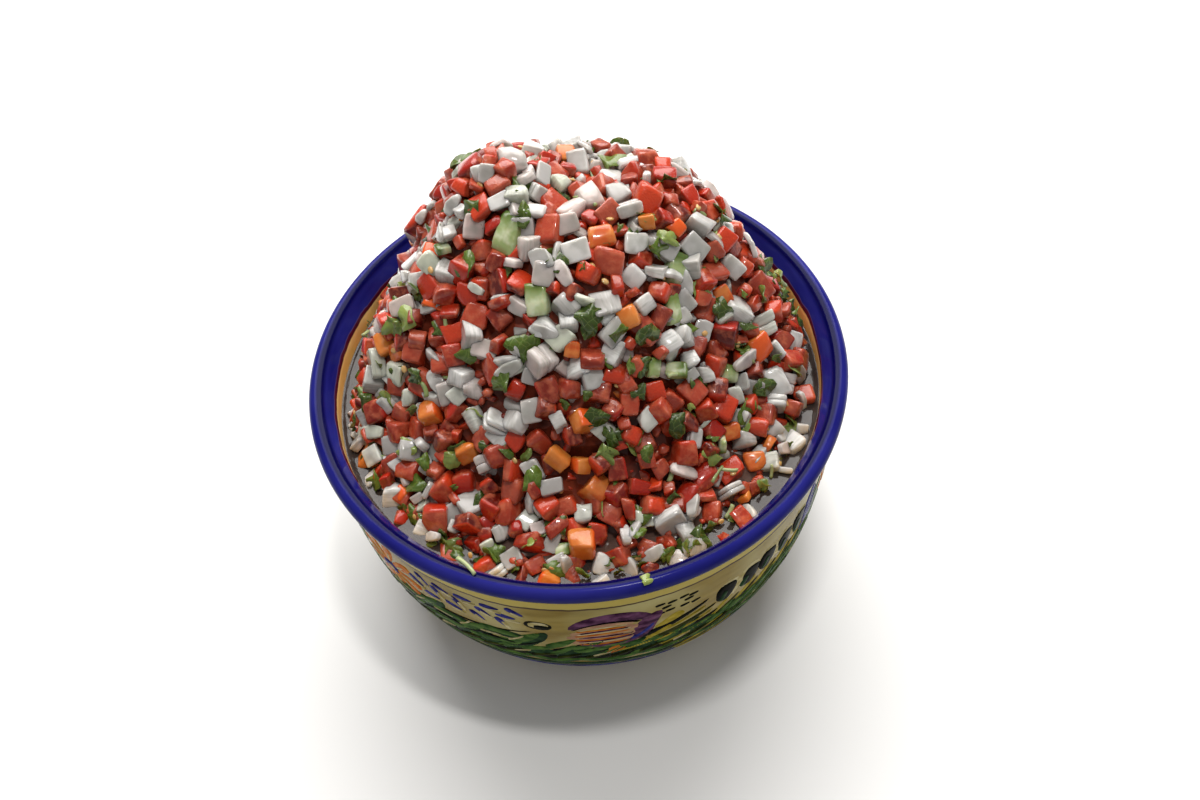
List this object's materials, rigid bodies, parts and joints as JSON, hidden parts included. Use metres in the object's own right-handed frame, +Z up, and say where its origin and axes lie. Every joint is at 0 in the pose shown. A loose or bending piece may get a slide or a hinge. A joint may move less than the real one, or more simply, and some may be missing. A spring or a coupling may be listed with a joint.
{
  "type": "pico de gallo in a bowl",
  "caption": "Heap of chopped tomato, onion, chilli and coriander standing in its juice in a round glazed earthenware bowl with a rolled rim and a foot ring.",
  "frame": {"origin": "middle of the bowl's foot, on the surface that it stands on", "axes": "+Z up, -Y towards the viewer of the picture, +X to that viewer's right"},
  "size_m": [0.17, 0.17, 0.1403],
  "materials": {
    "glazed_bowl": "gloss",
    "juice": "wet",
    "chopped_vegetables": "wet"
  },
  "bodies": {
    "root": {"bowl": "glazed_bowl", "juice": "juice", "pico_de_gallo": "chopped_vegetables"}
  },
  "joints": []
}
